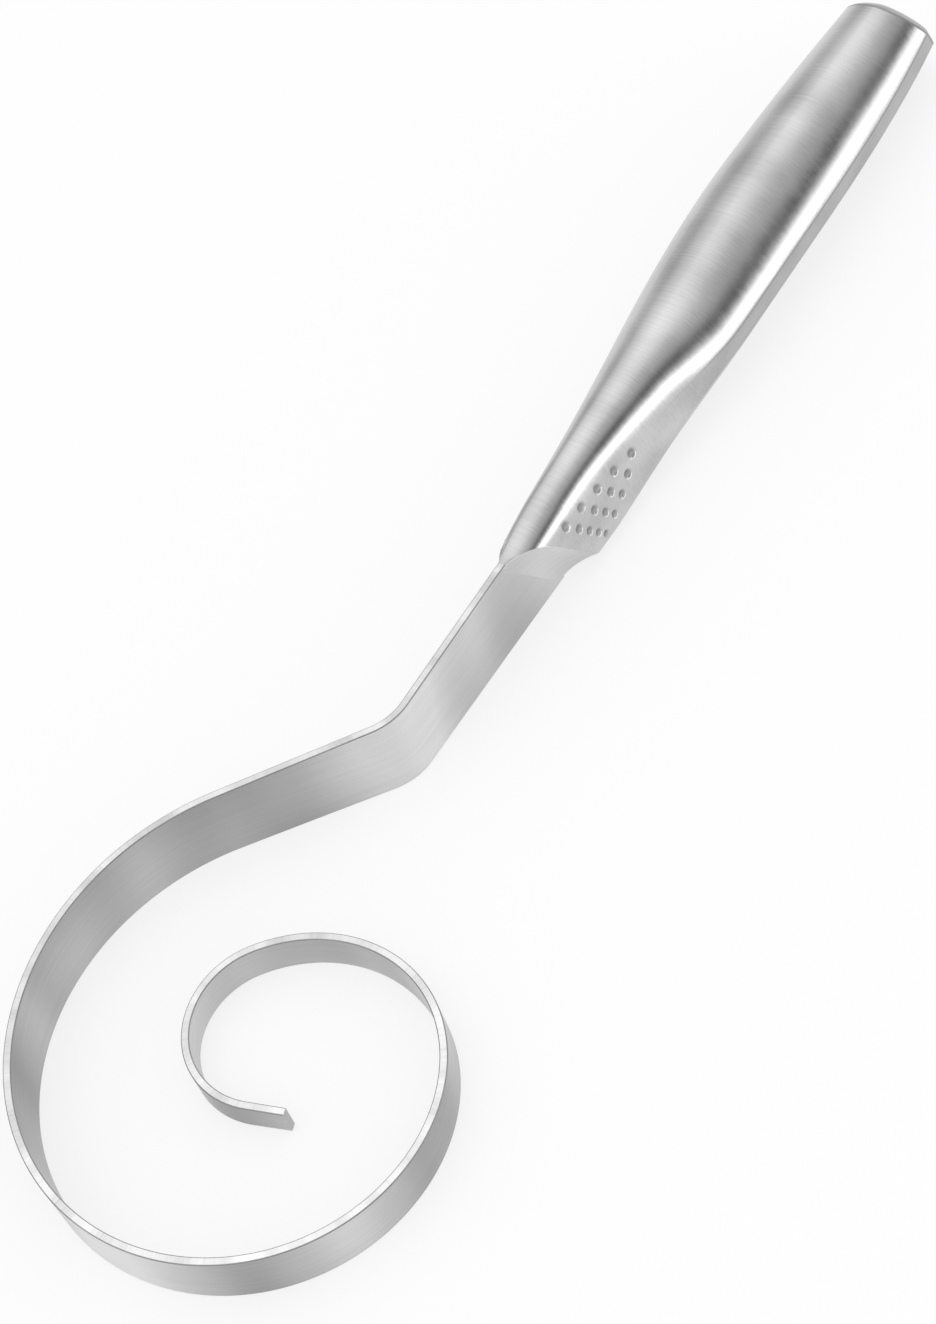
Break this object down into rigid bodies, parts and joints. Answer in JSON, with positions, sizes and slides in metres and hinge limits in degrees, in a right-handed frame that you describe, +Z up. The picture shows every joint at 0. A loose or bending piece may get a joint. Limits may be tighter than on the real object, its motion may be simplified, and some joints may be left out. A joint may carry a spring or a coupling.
{
  "type": "dough whisk",
  "caption": "Dough whisk with a flat steel bar rolled on edge into a scroll, and a hollow pressed steel handle with a dimpled thumb rest.",
  "frame": {"origin": "on the bar's lower edge, midway through its thickness, where the bar leaves the handle", "axes": "+X from the handle to the scroll, +Y towards the side that the scroll curls to, +Z up from the edge that the whisk lies on"},
  "size_m": [0.3249, 0.0867, 0.025],
  "materials": {
    "bar_steel": "fine satin, brushed along the bar",
    "nose_steel": "satin",
    "shell_steel": "satin, brushed across the handle",
    "cap_steel": "satin"
  },
  "bodies": {
    "root": {"scroll_blade": "bar_steel", "nose_block": "nose_steel", "thumb_shell": "shell_steel", "outer_shell": "shell_steel", "butt_cap": "cap_steel"}
  },
  "joints": []
}
